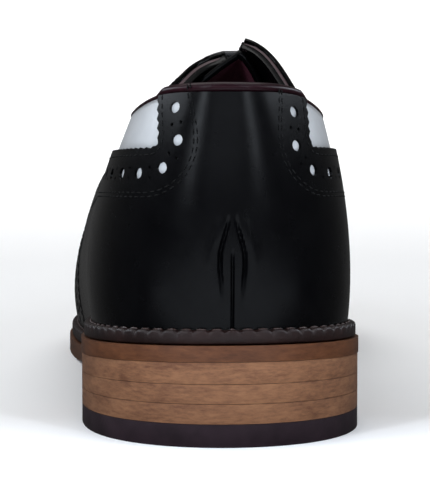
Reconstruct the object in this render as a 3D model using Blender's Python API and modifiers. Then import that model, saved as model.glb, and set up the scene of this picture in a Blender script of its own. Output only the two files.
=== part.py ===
"""Left brogue oxford, two-tone, as separate pieces in one frame.

Metres, +Z up, toe along +Y, floor at zero. The last is a surface of two numbers: p runs round the foot from the
back of the heel (0) to the toe (1), and t climbs from the welt (0) to the ridge of the foot (1). Every leather
piece of the upper is cut from that surface.
"""

import math

import bmesh
import bpy
import numpy as np
from mathutils import Vector

MM = 0.001
LATERAL = -1
MEDIAL = 1
SIDES = (LATERAL, MEDIAL)

# Sole in plan
SOLE_LENGTH = 302 * MM
HEEL_RADIUS = 38 * MM
TOE_RADIUS = 18 * MM
TOE_SWING = 15.2 * MM
WELT_WIDTH = 4.6 * MM
WELT_STEP = 0.8 * MM

# Sole in profile
TOP_LIFT = 6.4 * MM
LIFT_HEIGHTS = (5.5 * MM, 5.4 * MM, 6.0 * MM)
HEEL_PITCH = 0.07
BREAST = 77 * MM
ARCH_SLOPE = -0.15
TREAD_START = 184 * MM
TREAD_END = 213 * MM
TOE_SPRING = 9.5 * MM
OUTSOLE_HEEL = 4.4 * MM
OUTSOLE_FORE = 5.3 * MM
WELT_THICK = 3.8 * MM

# Upper
UPPER_WALL = 2.2 * MM
OVERLAY_WALL = 1.2 * MM
INSOLE_THICK = 3.0 * MM
TONGUE_WALL = 1.8 * MM
PIPING_RADIUS = 1.55 * MM
PIPING_SIDE = 0.6
GAP = 0.35 * MM
STAY_GAP = 0.5 * MM
CAP_GAP = 0.66 * MM
RIDGE_BACK = 22 * MM
RIDGE_FRONT = 278 * MM
THROAT_END = 193 * MM
SLIT_TOP = 2.0 * MM
SLIT_END = 1.2 * MM

# Counter, eyestays, tongue and laces
COUNTER_RISE = {LATERAL: 0.134, MEDIAL: 0.1445}
COUNTER_NOTCH = {LATERAL: 0.1115, MEDIAL: 0.129}
COUNTER_FRONT = {LATERAL: 166.2 * MM, MEDIAL: 165.2 * MM}
EYESTAY_BACK = 0.372
EYESTAY_WIDTH = 17 * MM
TONGUE_TOP = 125 * MM
TONGUE_END = 206 * MM
TONGUE_HALF = 23 * MM
TONGUE_SINK = 1.8 * MM
EYELET_OFFSET = 9.5 * MM
EYELET_RADIUS = 1.7 * MM
LACE_ROWS = (141 * MM, 152 * MM, 163 * MM, 174 * MM, 185 * MM)
LACE_RADIUS = 1.3 * MM

WELD = 0.02 * MM

# Sole outline, in millimetres: distance from the heel, centre line, width to each side of it
OUTLINE = (
    dict(along=36, centre=0.0, lateral=38.3, medial=38.3),
    dict(along=75, centre=0.6, lateral=38.0, medial=35.6),
    dict(along=120, centre=3.4, lateral=38.6, medial=32.4),
    dict(along=160, centre=6.3, lateral=42.4, medial=37.8),
    dict(along=195, centre=9.0, lateral=47.8, medial=45.6),
    dict(along=222, centre=10.8, lateral=47.0, medial=47.6),
    dict(along=255, centre=12.7, lateral=37.8, medial=40.6),
    dict(along=285, centre=14.4, lateral=24.4, medial=25.2),
)

# Ridge of the last, in millimetres: height over the floor, and how far it leans inwards from the centre line
RIDGE = (
    dict(along=22, height=122.0, lean=0.0),
    dict(along=60, height=125.0, lean=5.0),
    dict(along=95, height=118.0, lean=9.5),
    dict(along=130, height=104.5, lean=7.2),
    dict(along=165, height=84.5, lean=5.5),
    dict(along=195, height=69.0, lean=4.5),
    dict(along=225, height=57.5, lean=3.0),
    dict(along=255, height=48.5, lean=1.5),
    dict(along=278, height=40.0, lean=0.5),
)

# Section of the last: rise of its side and reach of its crown as shares, belly and drop of the crown in millimetres
SECTIONS = (
    dict(along=0, rise=0.50, belly_out=5.0, belly_in=5.0, crown_out=0.50, crown_in=0.50, drop_out=0, drop_in=0),
    dict(along=40, rise=0.40, belly_out=5.5, belly_in=4.5, crown_out=0.46, crown_in=0.58, drop_out=4, drop_in=0),
    dict(along=95, rise=0.43, belly_out=18.0, belly_in=3.0, crown_out=0.24, crown_in=0.62, drop_out=15, drop_in=0),
    dict(along=150, rise=0.49, belly_out=16.0, belly_in=4.0, crown_out=0.52, crown_in=0.60, drop_out=0, drop_in=0),
    dict(along=200, rise=0.52, belly_out=7.0, belly_in=6.0, crown_out=0.62, crown_in=0.62, drop_out=0, drop_in=0),
    dict(along=302, rise=0.60, belly_out=3.0, belly_in=3.0, crown_out=0.60, crown_in=0.60, drop_out=0, drop_in=0),
)

# Height of the topline, in millimetres
TOPLINE = (
    dict(along=0, lateral=95.8, medial=95.8),
    dict(along=15, lateral=94.6, medial=94.4),
    dict(along=30, lateral=91.0, medial=90.0),
    dict(along=45, lateral=87.4, medial=86.2),
    dict(along=60, lateral=85.8, medial=84.8),
    dict(along=75, lateral=86.6, medial=86.2),
    dict(along=95, lateral=91.0, medial=92.5),
    dict(along=115, lateral=95.4, medial=100.5),
    dict(along=132, lateral=99.4, medial=107.0),
    dict(along=150, lateral=107.0, medial=113.0),
)

# Height of the counter's wing, in millimetres
COUNTER_EDGE = (
    dict(along=10, height=80.5),
    dict(along=40, height=77.5),
    dict(along=80, height=73.0),
    dict(along=110, height=68.0),
    dict(along=140, height=60.0),
    dict(along=168, height=49.0),
)

# Back edge of the toe cap: where it lies along the foot, in millimetres, at each share of the climb
TOE_EDGE = (
    dict(climb=0.0, along=167.4),
    dict(climb=0.1, along=167.1),
    dict(climb=0.2, along=166.9),
    dict(climb=0.3, along=166.9),
    dict(climb=0.38, along=167.6),
    dict(climb=0.45, along=172),
    dict(climb=0.6, along=202),
    dict(climb=0.75, along=234),
    dict(climb=0.86, along=243),
    dict(climb=0.94, along=235),
    dict(climb=1.0, along=222),
)

COLOURS = dict(
    black=(0.012, 0.012, 0.014, 1),
    white=(0.62, 0.62, 0.6, 1),
    burgundy=(0.045, 0.012, 0.016, 1),
    welt=(0.03, 0.012, 0.01, 1),
    leather=(0.23, 0.11, 0.06, 1),
    rubber=(0.025, 0.018, 0.018, 1),
)


def column(table, name, scale=MM):
    """One named column of a table, as an array."""
    return np.array([row[name] for row in table], float) * scale


def smooth_line(stations, values):
    """A natural cubic curve through the values at the stations, as a function of arrays."""
    count = len(stations)
    step = np.diff(stations)
    slope = np.diff(values) / step
    matrix = np.eye(count)
    right = np.zeros(count)
    for i in range(1, count - 1):
        matrix[i, i - 1 : i + 2] = step[i - 1], 2 * (step[i - 1] + step[i]), step[i]
        right[i] = 6 * (slope[i] - slope[i - 1])
    bend = np.linalg.solve(matrix, right)

    def at(where):
        where = np.asarray(where, float)
        i = np.clip(np.searchsorted(stations, where) - 1, 0, count - 2)
        after = where - stations[i]
        before = stations[i + 1] - where
        curve = (bend[i] * before**3 + bend[i + 1] * after**3) / (6 * step[i])
        line = (values[i] / step[i] - bend[i] * step[i] / 6) * before
        return curve + line + (values[i + 1] / step[i] - bend[i + 1] * step[i] / 6) * after

    return at


def fullness(name):
    """Half width of the sole over that of a round end, for one side."""
    along = column(OUTLINE, "along")
    shares = column(OUTLINE, name) / np.sqrt(along * (SOLE_LENGTH - along))
    ends = [math.sqrt(2 * radius / SOLE_LENGTH) for radius in (HEEL_RADIUS, TOE_RADIUS)]
    stations = np.concatenate([[0], along, [SOLE_LENGTH]])
    return smooth_line(stations, np.concatenate([ends[:1], shares, ends[1:]]))


WIDTH = {LATERAL: fullness("lateral"), MEDIAL: fullness("medial")}
CENTRE = smooth_line(
    np.concatenate([[0], column(OUTLINE, "along"), [SOLE_LENGTH]]),
    np.concatenate([[0], column(OUTLINE, "centre"), [TOE_SWING]]),
)
RIDGE_HEIGHT = smooth_line(column(RIDGE, "along"), column(RIDGE, "height"))
RIDGE_LEAN = smooth_line(column(RIDGE, "along"), column(RIDGE, "lean"))
RISE = smooth_line(column(SECTIONS, "along"), column(SECTIONS, "rise", 1))
CROWN = {
    LATERAL: smooth_line(column(SECTIONS, "along"), column(SECTIONS, "crown_out", 1)),
    MEDIAL: smooth_line(column(SECTIONS, "along"), column(SECTIONS, "crown_in", 1)),
}
BELLY = {
    LATERAL: smooth_line(column(SECTIONS, "along"), column(SECTIONS, "belly_out")),
    MEDIAL: smooth_line(column(SECTIONS, "along"), column(SECTIONS, "belly_in")),
}
DROP = {
    LATERAL: smooth_line(column(SECTIONS, "along"), column(SECTIONS, "drop_out")),
    MEDIAL: smooth_line(column(SECTIONS, "along"), column(SECTIONS, "drop_in")),
}
TOP = {
    LATERAL: smooth_line(column(TOPLINE, "along"), column(TOPLINE, "lateral")),
    MEDIAL: smooth_line(column(TOPLINE, "along"), column(TOPLINE, "medial")),
}
WING = smooth_line(column(COUNTER_EDGE, "along"), column(COUNTER_EDGE, "height"))
CAP = smooth_line(column(TOE_EDGE, "climb", 1), column(TOE_EDGE, "along"))
HEEL_STACK = TOP_LIFT + sum(LIFT_HEIGHTS)


def tread(y):
    """Height of the underside of the outsole."""
    seat = HEEL_STACK - HEEL_PITCH * np.minimum(y, BREAST)
    share = np.clip((y - BREAST) / (TREAD_START - BREAST), 0, 1)
    fall = (2 * share**3 - 3 * share**2 + 1) * (HEEL_STACK - HEEL_PITCH * BREAST)
    sag = (share**3 - 2 * share**2 + share) * ARCH_SLOPE * (TREAD_START - BREAST)
    spring = np.clip((y - TREAD_END) / (SOLE_LENGTH - TREAD_END), 0, None)
    return np.where(y < BREAST, seat, fall + sag + TOE_SPRING * spring**1.8)


def sole_top(y):
    """Height of the top of the outsole."""
    share = np.clip((y - BREAST) / (TREAD_START - BREAST), 0, 1)
    return tread(y) + OUTSOLE_HEEL + (OUTSOLE_FORE - OUTSOLE_HEEL) * share


def welt_top(y):
    return sole_top(y) + GAP + WELT_THICK


def edge(side, p, inset=0.0):
    """Plan points of the sole's outline, moved inwards by the inset, with the outward direction there."""

    def raw(q):
        y = SOLE_LENGTH / 2 * (1 - np.cos(math.pi * q))
        return np.stack([CENTRE(y) + side * WIDTH[side](y) * SOLE_LENGTH / 2 * np.sin(math.pi * q), y], -1)

    small = 1e-4
    run = raw(p + small) - raw(p - small)
    out = side * np.stack([run[..., 1], -run[..., 0]], -1)
    out /= np.linalg.norm(out, axis=-1, keepdims=True)
    return raw(p) - inset * out, out


def ridge_along(p):
    return (RIDGE_BACK + RIDGE_FRONT) / 2 - (RIDGE_FRONT - RIDGE_BACK) / 2 * np.cos(math.pi * p)


def ridge_x(y):
    return CENTRE(y) + RIDGE_LEAN(y)


def last(side, p, t):
    """Points of the last: a bulging curve from the welt up to the ridge for each p."""
    p, t = np.broadcast_arrays(np.asarray(p, float), np.asarray(t, float))
    plan, out = edge(side, p, WELT_WIDTH)
    station = SOLE_LENGTH / 2 * (1 - np.cos(math.pi * p))
    foot = np.concatenate([plan, welt_top(plan[..., 1:])], -1)
    along = ridge_along(p)
    top = np.stack([ridge_x(along), along, RIDGE_HEIGHT(along)], -1)
    slope = (RIDGE_HEIGHT(along + MM) - RIDGE_HEIGHT(along - MM)) / (2 * MM)
    reach = foot[..., :2] - top[..., :2]
    low = foot.copy()
    low[..., :2] += out * BELLY[side](station)[..., None]
    low[..., 2] += RISE(station) * (top[..., 2] - foot[..., 2])
    high = top.copy()
    high[..., :2] += CROWN[side](station)[..., None] * reach
    high[..., 2] += CROWN[side](station) * reach[..., 1] * slope - DROP[side](station)
    s = t[..., None]
    return (1 - s) ** 3 * foot + 3 * s * (1 - s) ** 2 * low + 3 * s**2 * (1 - s) * high + s**3 * top


def lifted(side, p, t, lift):
    """Points of the last moved out along its normal."""
    small = 1e-3
    p, t = np.broadcast_arrays(np.asarray(p, float), np.asarray(t, float))
    q = np.clip(p, small * 2, 1 - small * 2)
    s = np.clip(t, small * 2, 1 - small * 2)
    normal = np.cross(
        last(side, q + small, s) - last(side, q - small, s),
        last(side, q, s + small) - last(side, q, s - small),
    )
    normal *= side / np.linalg.norm(normal, axis=-1, keepdims=True)
    middle = (p <= small) | (p >= 1 - small) | (t >= 1 - small)
    normal[..., 0] = np.where(middle, 0, normal[..., 0])
    normal /= np.linalg.norm(normal, axis=-1, keepdims=True)
    return last(side, p, t) + normal * lift


def slit(y):
    """Half width of the throat between the facings."""
    share = np.clip((THROAT_END - y) / (THROAT_END - 130 * MM), 0, 1)
    return SLIT_END + (SLIT_TOP - SLIT_END) * share


def first_crossing(t, over):
    """The value of t on each row where the test first passes zero, or the last one."""
    crossed = over > 0
    i = np.where(crossed.any(-1), crossed.argmax(-1), len(t) - 1)
    row = np.arange(len(over))
    low, high = over[row, i - 1], over[row, i]
    share = np.where(high > 0, -low / np.where(high > low, high - low, 1), 1)
    return t[i - 1] + (t[i] - t[i - 1]) * np.clip(share, 0, 1)


def top_climb(side, p):
    """Share of the climb at which the upper ends: at the topline, at the throat or at the ridge."""
    t = np.linspace(0.3, 1, 701)
    points = last(side, np.asarray(p)[:, None], t[None])
    x, y, z = np.moveaxis(points, -1, 0)
    over = z - TOP[side](np.minimum(y, 150 * MM))
    inside = np.where((y < THROAT_END) & (t > 0.6), slit(y) - np.abs(x - ridge_x(y)), -1)
    return first_crossing(t, np.maximum(over, inside))


def wing_climb(side, p):
    """Share of the climb at the counter's wing."""
    t = np.linspace(0.05, 1, 701)
    points = last(side, np.asarray(p)[:, None], t[None])
    return first_crossing(t, points[..., 2] - WING(points[..., 1]))


def down_from(side, p, start, distance):
    """Share of the climb a given distance below the start, measured on the last."""
    t = start[:, None] * np.linspace(1, 0.2, 401)[None]
    points = last(side, np.asarray(p)[:, None], t)
    run = np.linalg.norm(np.diff(points, axis=1), axis=-1).cumsum(1)
    run = np.concatenate([np.zeros((len(run), 1)), run], 1)
    return np.array([np.interp(d, row, ts) for d, row, ts in zip(distance, run, t)])


def p_along(side, t, y):
    """The p at which the last's surface is at y, on each climb."""
    low = np.full(np.shape(t), 0.02)
    high = np.full(np.shape(t), 0.98)
    for _ in range(40):
        middle = (low + high) / 2
        short = last(side, middle, t)[..., 1] < y
        low = np.where(short, middle, low)
        high = np.where(short, high, middle)
    return (low + high) / 2


def on_last(x, y):
    """Side, p and t of the last at a plan point near the ridge."""
    side = MEDIAL if x > ridge_x(y) else LATERAL
    p, t = 0.5, 0.9
    for _ in range(30):
        here = last(side, p, t)
        turn = np.stack([last(side, p + 1e-4, t) - here, last(side, p, t - 1e-4) - here], -1)[:2] / 1e-4
        move = np.linalg.solve(turn, np.array([x, y]) - here[:2])
        p, t = p + move[0], t - move[1]
    return side, p, t


def material(name):
    paint = bpy.data.materials.get(name) or bpy.data.materials.new(name)
    paint.use_nodes = True
    shader = paint.node_tree.nodes["Principled BSDF"]
    shader.inputs["Base Color"].default_value = COLOURS[name]
    shader.inputs["Roughness"].default_value = 0.4
    return paint


def add(name, data, paint, shoe):
    """A named piece, in the shoe's collection and under its frame."""
    piece = bpy.data.objects.new(name, data)
    data.materials.append(material(paint))
    bpy.data.collections["brogue_oxford"].objects.link(piece)
    piece.parent = shoe
    return piece


def laid_grids(sheets):
    """One mesh of grids laid out by their functions and welded where they meet."""
    mesh = bmesh.new()
    for u_count, v_count, place in sheets:
        grid = bmesh.ops.create_grid(mesh, x_segments=u_count, y_segments=v_count, size=0.5)
        share = np.array([vert.co[:2] for vert in grid["verts"]]) + 0.5
        for vert, point in zip(grid["verts"], place(share[:, 0], share[:, 1])):
            vert.co = point
    bmesh.ops.remove_doubles(mesh, verts=mesh.verts, dist=WELD)
    bmesh.ops.recalc_face_normals(mesh, faces=mesh.faces)
    return mesh


def to_data(name, mesh):
    data = bpy.data.meshes.new(name)
    mesh.to_mesh(data)
    mesh.free()
    return data


def leather(name, sheets, wall, paint, shoe):
    """A piece of the upper: sheets on the last, with the wall inside them."""
    mesh = laid_grids(sheets)
    middle = Vector((10 * MM, 150 * MM, 40 * MM))
    outward = sum(face.calc_area() * face.normal.dot(face.calc_center_median() - middle) for face in mesh.faces)
    if outward < 0:
        bmesh.ops.reverse_faces(mesh, faces=mesh.faces)
    bmesh.ops.triangulate(mesh, faces=mesh.faces, quad_method="SHORT_EDGE")
    piece = add(name, to_data(name, mesh), paint, shoe)
    shell = piece.modifiers.new("Wall", "SOLIDIFY")
    shell.thickness = wall
    shell.offset = -1
    shell.use_even_offset = True
    shell.use_quality_normals = True
    return piece


def plate(name, place, counts, bottom, top, paint, shoe):
    """A layer of the sole: a plan grid raised from its bottom to its top."""

    def flat(u, v):
        plan = place(u, v)
        return np.concatenate([plan, bottom(plan[:, 1:])], -1)

    mesh = laid_grids([(*counts, flat)])
    raised = bmesh.ops.extrude_face_region(mesh, geom=mesh.faces[:])["geom"]
    for vert in raised:
        if isinstance(vert, bmesh.types.BMVert):
            vert.co.z = float(top(np.array(vert.co.y)))
    bmesh.ops.recalc_face_normals(mesh, faces=mesh.faces)
    return add(name, to_data(name, mesh), paint, shoe)


def across(inset, end):
    """Plan grid between the two sides of the outline, from the heel to the given p."""

    def place(u, v):
        lateral = edge(LATERAL, u * end, inset)[0]
        medial = edge(MEDIAL, u * end, inset)[0]
        return lateral + (medial - lateral) * v[:, None]

    return place


def around(outer, inner):
    """Plan grid of a ring that follows the outline on both sides."""

    def place(u, v):
        inset = (outer + (inner - outer) * v)[:, None]
        p = np.where(u < 0.5, 2 * u, 2 - 2 * u)
        lateral = edge(LATERAL, p, inset)[0]
        medial = edge(MEDIAL, p, inset)[0]
        return np.where((u < 0.5)[:, None], lateral, medial)

    return place


def heel_p():
    """The p at which the outline reaches the breast of the heel."""
    return math.acos(1 - 2 * BREAST / SOLE_LENGTH) / math.pi


def add_sole(shoe):
    """Outsole, welt, heel lifts, top lift and insole."""
    plate("outsole", across(0.0, 1), (52, 3), tread, sole_top, "leather", shoe)
    welt_base = lambda y: sole_top(y) + GAP
    ring = around(WELT_STEP, WELT_WIDTH - GAP)
    plate("welt", ring, (104, 1), welt_base, welt_top, "welt", shoe)
    sock = across(WELT_WIDTH + UPPER_WALL + 2 * GAP, 1)
    sock_top = lambda y: sole_top(y) + GAP + INSOLE_THICK
    plate("insole", sock, (40, 3), welt_base, sock_top, "burgundy", shoe)
    level = 0.0
    names = ["top_lift", "heel_lift_3", "heel_lift_2", "heel_lift_1"]
    for name, height in zip(names, (TOP_LIFT, *LIFT_HEIGHTS)):

        def plane(y, level=level):
            return level - HEEL_PITCH * y * level / HEEL_STACK

        def lid(y, level=level + height):
            return level - HEEL_PITCH * y * level / HEEL_STACK - GAP

        paint = "rubber" if name == "top_lift" else "leather"
        plate(name, across(0.2 * MM, heel_p()), (18, 3), plane, lid, paint, shoe)
        level += height


def upper_sheet(side, p_count, rows):
    """Grid of one side of the upper, from the outsole to its top edge."""
    p_steps = np.linspace(0, 1, p_count + 1)
    ends = top_climb(side, p_steps)

    def place(u, v):
        row = np.round(v * rows)
        p = p_steps[np.round(u * p_count).astype(int)]
        t = ends[np.round(u * p_count).astype(int)] * np.clip((row - 1) / (rows - 1), 0, 1)
        points = last(side, p, t)
        foot = sole_top(points[:, 1]) + GAP
        points[:, 2] = np.where(row == 0, foot, points[:, 2])
        return points

    return p_count, rows, place


def counter_sheet(side, rows):
    """Grid of one side of the counter: up to the collar at the back, up to the wing beyond its notch."""
    front = math.acos(1 - 2 * COUNTER_FRONT[side] / SOLE_LENGTH) / math.pi
    notch = COUNTER_NOTCH[side]
    low = np.concatenate([np.linspace(0, notch - 0.012, 7), np.linspace(notch, front, 16)])
    high = np.concatenate([np.linspace(0, COUNTER_RISE[side], 7), low[7:]])
    wing = np.minimum(wing_climb(side, low), top_climb(side, low) - 0.012)
    collar = down_from(side, high, top_climb(side, high), np.full(len(high), 1.5 * MM))
    ends = np.concatenate([collar[:7], wing[7:]])
    count = len(low) - 1

    def place(u, v):
        i = np.round(u * count).astype(int)
        climb = 0.013 + (ends[i] - 0.013) * v
        lean = np.clip((climb - wing[i]) / (collar[i] - wing[i]), 0, 1) ** 2
        return lifted(side, low[i] + (high[i] - low[i]) * lean, climb, GAP + OVERLAY_WALL)

    return count, rows, place


def cap_sheet(side, count, rows):
    """Grid of one side of the toe cap: from its winged back edge round to the toe."""
    climbs = np.maximum(np.linspace(0, 1, rows + 1), 0.022)
    starts = p_along(side, climbs, CAP(climbs))

    def place(u, v):
        i = np.round(v * rows).astype(int)
        return lifted(side, starts[i] + (1 - starts[i]) * u, climbs[i], CAP_GAP + OVERLAY_WALL)

    return count, rows, place


def eyestay_sheet(side, count, rows):
    """Grid of one facing, along the throat and back along the topline."""
    front = math.acos((RIDGE_BACK + RIDGE_FRONT - 2 * THROAT_END) / (RIDGE_FRONT - RIDGE_BACK)) / math.pi
    p_steps = np.linspace(EYESTAY_BACK, front - 0.004, count + 1)
    share = np.linspace(0, 1, count + 1)
    ramp = np.clip(share / 0.3, 0, 1)
    width = EYESTAY_WIDTH * (0.25 + 0.75 * np.sin(ramp * math.pi / 2))
    ends = down_from(side, p_steps, top_climb(side, p_steps), np.full(count + 1, 0.4 * MM))
    starts = down_from(side, p_steps, ends, width)

    def place(u, v):
        i = np.round(u * count).astype(int)
        return lifted(side, p_steps[i], starts[i] + (ends[i] - starts[i]) * v, STAY_GAP + OVERLAY_WALL)

    return count, rows, place


def tongue_sheet(side, count, rows):
    """Grid of one half of the tongue, under the facings."""
    ends = [(RIDGE_BACK + RIDGE_FRONT - 2 * y) / (RIDGE_FRONT - RIDGE_BACK) for y in (TONGUE_TOP, TONGUE_END)]
    p_steps = np.linspace(math.acos(ends[0]) / math.pi, math.acos(ends[1]) / math.pi, count + 1)
    round_end = np.sqrt(np.clip(np.linspace(0, 1, count + 1) / 0.12, 0.7, 1))
    starts = down_from(side, p_steps, np.ones(count + 1), TONGUE_HALF * round_end)

    def place(u, v):
        i = np.round(u * count).astype(int)
        points = lifted(side, p_steps[i], starts[i] + (1 - starts[i]) * v, -UPPER_WALL - 2 * GAP)
        return points - np.array([0, 0, TONGUE_SINK])

    return count, rows, place


def add_upper(shoe):
    """Upper, its overlays and the tongue."""
    upper = leather("upper", [upper_sheet(side, 36, 11) for side in SIDES], UPPER_WALL, "white", shoe)
    leather("counter", [counter_sheet(side, 7) for side in SIDES], OVERLAY_WALL, "black", shoe)
    leather("toe_cap", [cap_sheet(side, 20, 10) for side in SIDES], OVERLAY_WALL, "black", shoe)
    leather("tongue", [tongue_sheet(side, 14, 5) for side in SIDES], TONGUE_WALL, "black", shoe)
    stays = []
    for side, name in zip(SIDES, ("lateral", "medial")):
        stays.append(leather("eyestay_" + name, [eyestay_sheet(side, 18, 4)], OVERLAY_WALL, "black", shoe))
    punch = add_eyelet_punch(shoe)
    for piece in (upper, *stays):
        cut = piece.modifiers.new("Eyelets", "BOOLEAN")
        cut.operation = "DIFFERENCE"
        cut.solver = "EXACT"
        cut.object = punch


def add_eyelet_punch(shoe):
    """Pins that cut the eyelets through both facings."""
    mesh = bmesh.new()
    for y in LACE_ROWS:
        for side in SIDES:
            side, p, t = on_last(ridge_x(y) + side * EYELET_OFFSET, y)
            low = lifted(side, p, t, -UPPER_WALL - 2 * MM)
            high = lifted(side, p, t, 2 * GAP + OVERLAY_WALL + MM)
            pin = bmesh.ops.create_cone(
                mesh, cap_ends=True, segments=10, radius1=EYELET_RADIUS, radius2=EYELET_RADIUS, depth=1
            )
            axis = high - low
            rise = np.linalg.norm(axis)
            across_x = np.cross([0, 1, 0], axis / rise)
            across_x /= np.linalg.norm(across_x)
            across_y = np.cross(axis / rise, across_x)
            for vert in pin["verts"]:
                x, y_local, z = vert.co
                vert.co = (low + high) / 2 + across_x * x + across_y * y_local + axis * z
    bmesh.ops.recalc_face_normals(mesh, faces=mesh.faces)
    punch = bpy.data.objects.new("eyelet_punch", to_data("eyelet_punch", mesh))
    bpy.data.collections["cutters"].objects.link(punch)
    punch.parent = shoe
    punch.hide_render = True
    punch.display_type = "WIRE"
    return punch


def add_tube(name, points, radius, paint, shoe, shares=None):
    """A round cord through the points, with a share of the radius at each."""
    data = bpy.data.curves.new(name, "CURVE")
    data.dimensions = "3D"
    data.bevel_depth = radius
    data.bevel_resolution = 2
    data.use_fill_caps = True
    line = data.splines.new("POLY")
    line.points.add(len(points) - 1)
    for i, knot in enumerate(line.points):
        knot.co = (*points[i], 1)
        knot.radius = 1 if shares is None else shares[i]
    return add(name, data, paint, shoe)


def add_cords(shoe):
    """Piping round the collar and bars of lace over the facings."""
    halves = []
    shares = []
    p_steps = np.linspace(0, EYESTAY_BACK - 0.004, 24)
    for side in SIDES:
        share = 1 - (1 - PIPING_SIDE) * np.clip((p_steps - COUNTER_RISE[side]) / 0.05, 0, 1)
        rim = lifted(side, p_steps, top_climb(side, p_steps), -UPPER_WALL / 2)
        rim[:, 2] += PIPING_RADIUS * share + 2 * GAP
        halves.append(rim)
        shares.append(share)
    ring = np.concatenate([halves[0][::-1], halves[1][1:]])
    ring_shares = np.concatenate([shares[0][::-1], shares[1][1:]])
    add_tube("collar_piping", ring, PIPING_RADIUS, "burgundy", shoe, ring_shares)
    lift = STAY_GAP + OVERLAY_WALL + 2 * GAP + LACE_RADIUS
    for i, y in enumerate(LACE_ROWS):
        bar = []
        for offset in (-1, -0.66, -0.33, 0.33, 0.66, 1):
            side, p, t = on_last(ridge_x(y) + offset * EYELET_OFFSET, y)
            bar.append(lifted(side, p, t, lift))
        add_tube(f"lace_bar_{i + 1}", bar, LACE_RADIUS, "black", shoe)


def add_frame():
    """Turns the toe onto +Y and centres the outline on the origin."""
    shoe = bpy.data.objects.new("shoe_frame", None)
    bpy.data.collections["brogue_oxford"].objects.link(shoe)
    turn = math.atan2(TOE_SWING, SOLE_LENGTH - HEEL_RADIUS)
    outline = np.concatenate([edge(side, np.linspace(0, 1, 400))[0] for side in SIDES])
    x = outline[:, 0] * math.cos(turn) - outline[:, 1] * math.sin(turn)
    y = outline[:, 0] * math.sin(turn) + outline[:, 1] * math.cos(turn)
    shoe.rotation_euler.z = turn
    shoe.location = (-(x.min() + x.max()) / 2, -(y.min() + y.max()) / 2, 0)
    return shoe


def main():
    for old in list(bpy.data.objects):
        bpy.data.objects.remove(old)
    for name in ("brogue_oxford", "cutters"):
        bpy.context.scene.collection.children.link(bpy.data.collections.new(name))
    bpy.data.collections["cutters"].hide_render = True
    shoe = add_frame()
    add_sole(shoe)
    add_upper(shoe)
    add_cords(shoe)


if __name__ == "__main__":
    main()
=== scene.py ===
import math

import bmesh
import bpy
import numpy as np
from mathutils import Matrix, Vector


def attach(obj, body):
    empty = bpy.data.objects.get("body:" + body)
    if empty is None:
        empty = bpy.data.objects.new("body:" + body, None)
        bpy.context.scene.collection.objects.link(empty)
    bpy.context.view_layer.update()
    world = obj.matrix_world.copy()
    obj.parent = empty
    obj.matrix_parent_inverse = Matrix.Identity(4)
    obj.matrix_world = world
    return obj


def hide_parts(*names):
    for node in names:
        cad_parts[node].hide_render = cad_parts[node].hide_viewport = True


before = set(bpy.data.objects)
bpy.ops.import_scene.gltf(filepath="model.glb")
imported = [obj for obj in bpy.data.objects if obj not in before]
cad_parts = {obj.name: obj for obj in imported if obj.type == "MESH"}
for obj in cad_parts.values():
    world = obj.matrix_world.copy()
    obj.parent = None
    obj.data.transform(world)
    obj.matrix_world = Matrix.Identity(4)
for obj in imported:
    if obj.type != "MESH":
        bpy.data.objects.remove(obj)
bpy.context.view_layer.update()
mm = 0.001
print("frame loaded:", len(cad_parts), "nodes")

# the last: heel at y 0, toe along +y, outer side at negative x, lengths in millimetres
lasted = dict(
    soleLength=302, heelRadius=38, toeRadius=18, toeSwing=15.2, weltWidth=4.6,
    heelStack=23.3, heelPitch=0.07, breast=77, archSlope=-0.15, treadStart=184, treadEnd=213,
    toeSpring=9.5, springCurve=1.8, outsoleHeel=4.4, outsoleFore=5.3, weltThick=3.8, gap=0.35,
    ridgeBack=22, ridgeFront=278, throatTop=130, throatEnd=193, slitTop=2.0, slitEnd=1.2,
)
outline = dict(
    along=(36, 75, 120, 160, 195, 222, 255, 285),
    centre=(0.0, 0.6, 3.4, 6.3, 9.0, 10.8, 12.7, 14.4),
    outer=(38.3, 38.0, 38.6, 42.4, 47.8, 47.0, 37.8, 24.4),
    inner=(38.3, 35.6, 32.4, 37.8, 45.6, 47.6, 40.6, 25.2),
)
ridge = dict(
    along=(22, 60, 95, 130, 165, 195, 225, 255, 278),
    height=(122.0, 125.0, 118.0, 104.5, 84.5, 69.0, 57.5, 48.5, 40.0),
    lean=(0.0, 5.0, 9.5, 7.2, 5.5, 4.5, 3.0, 1.5, 0.5),
)
section = dict(
    along=(0, 40, 95, 150, 200, 302),
    rise=(0.50, 0.40, 0.43, 0.49, 0.52, 0.60),
    bellyOuter=(5.0, 5.5, 18.0, 16.0, 7.0, 3.0),
    bellyInner=(5.0, 4.5, 3.0, 4.0, 6.0, 3.0),
    crownOuter=(0.50, 0.46, 0.24, 0.52, 0.62, 0.60),
    crownInner=(0.50, 0.58, 0.62, 0.60, 0.62, 0.60),
    dropOuter=(0, 4, 15, 0, 0, 0),
    dropInner=(0, 0, 0, 0, 0, 0),
)
topline = dict(
    along=(0, 15, 30, 45, 60, 75, 95, 115, 132, 150),
    outer=(95.8, 94.6, 91.0, 87.4, 85.8, 86.6, 91.0, 95.4, 99.4, 107.0),
    inner=(95.8, 94.4, 90.0, 86.2, 84.8, 86.2, 92.5, 100.5, 107.0, 113.0),
)
outer, inner = -1, 1
sides = {outer: "Outer", inner: "Inner"}
length = lasted["soleLength"]
nudge = 1e-4  # small step of p or t, for slopes
climbSteps = 701  # fineness of a search up the last


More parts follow.
